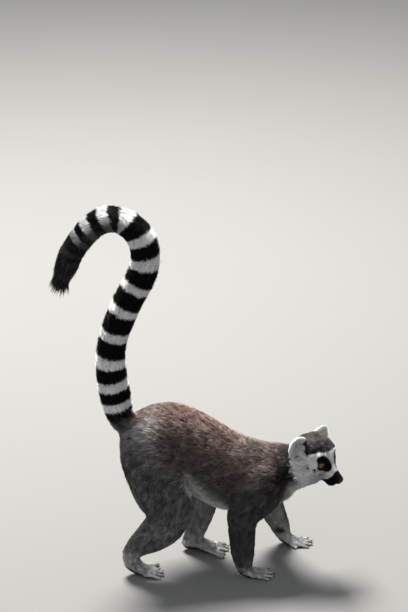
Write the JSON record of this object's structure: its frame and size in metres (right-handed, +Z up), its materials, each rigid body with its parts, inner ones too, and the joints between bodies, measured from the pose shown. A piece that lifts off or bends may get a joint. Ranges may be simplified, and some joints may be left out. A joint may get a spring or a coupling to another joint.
{
  "type": "ring-tailed lemur",
  "caption": "Still life-size model of a ring-tailed lemur in mid-walk on all fours, head turned to its right, ringed tail carried high.",
  "frame": {"origin": "on the floor, under the middle of the outline", "axes": "+X the way the animal walks, +Y to its left, +Z up"},
  "size_m": [0.4706, 0.1569, 0.6277],
  "materials": {
    "russet_coat": "dense soft fur, reddish brown over grey, finely grizzled",
    "grey_coat": "short dense fur, mottled mid grey",
    "dark_coat": "dense fur, blackish brown",
    "white_coat": "short white fur",
    "ringed_coat": "long soft fur in black and white rings",
    "black_leather": "bare fine-grained black skin, slightly moist",
    "eye": "polished, amber iris with a black pupil"
  },
  "bodies": {
    "root": {"trunk": "russet_coat", "neck": "dark_coat", "head": "white_coat", "ear_left": "white_coat", "ear_right": "white_coat", "eye_left": "eye", "eye_right": "eye", "nose": "black_leather", "upper_arm_left": "grey_coat", "upper_arm_right": "grey_coat", "forearm_left": "grey_coat", "forearm_right": "grey_coat", "hand_left": "white_coat", "hand_right": "white_coat", "thigh_left": "grey_coat", "thigh_right": "grey_coat", "shank_left": "grey_coat", "shank_right": "grey_coat", "foot_left": "white_coat", "foot_right": "white_coat", "tail_1": "ringed_coat", "tail_2": "ringed_coat", "tail_3": "ringed_coat", "tail_4": "ringed_coat", "tail_5": "ringed_coat", "tail_6": "ringed_coat"}
  },
  "joints": []
}
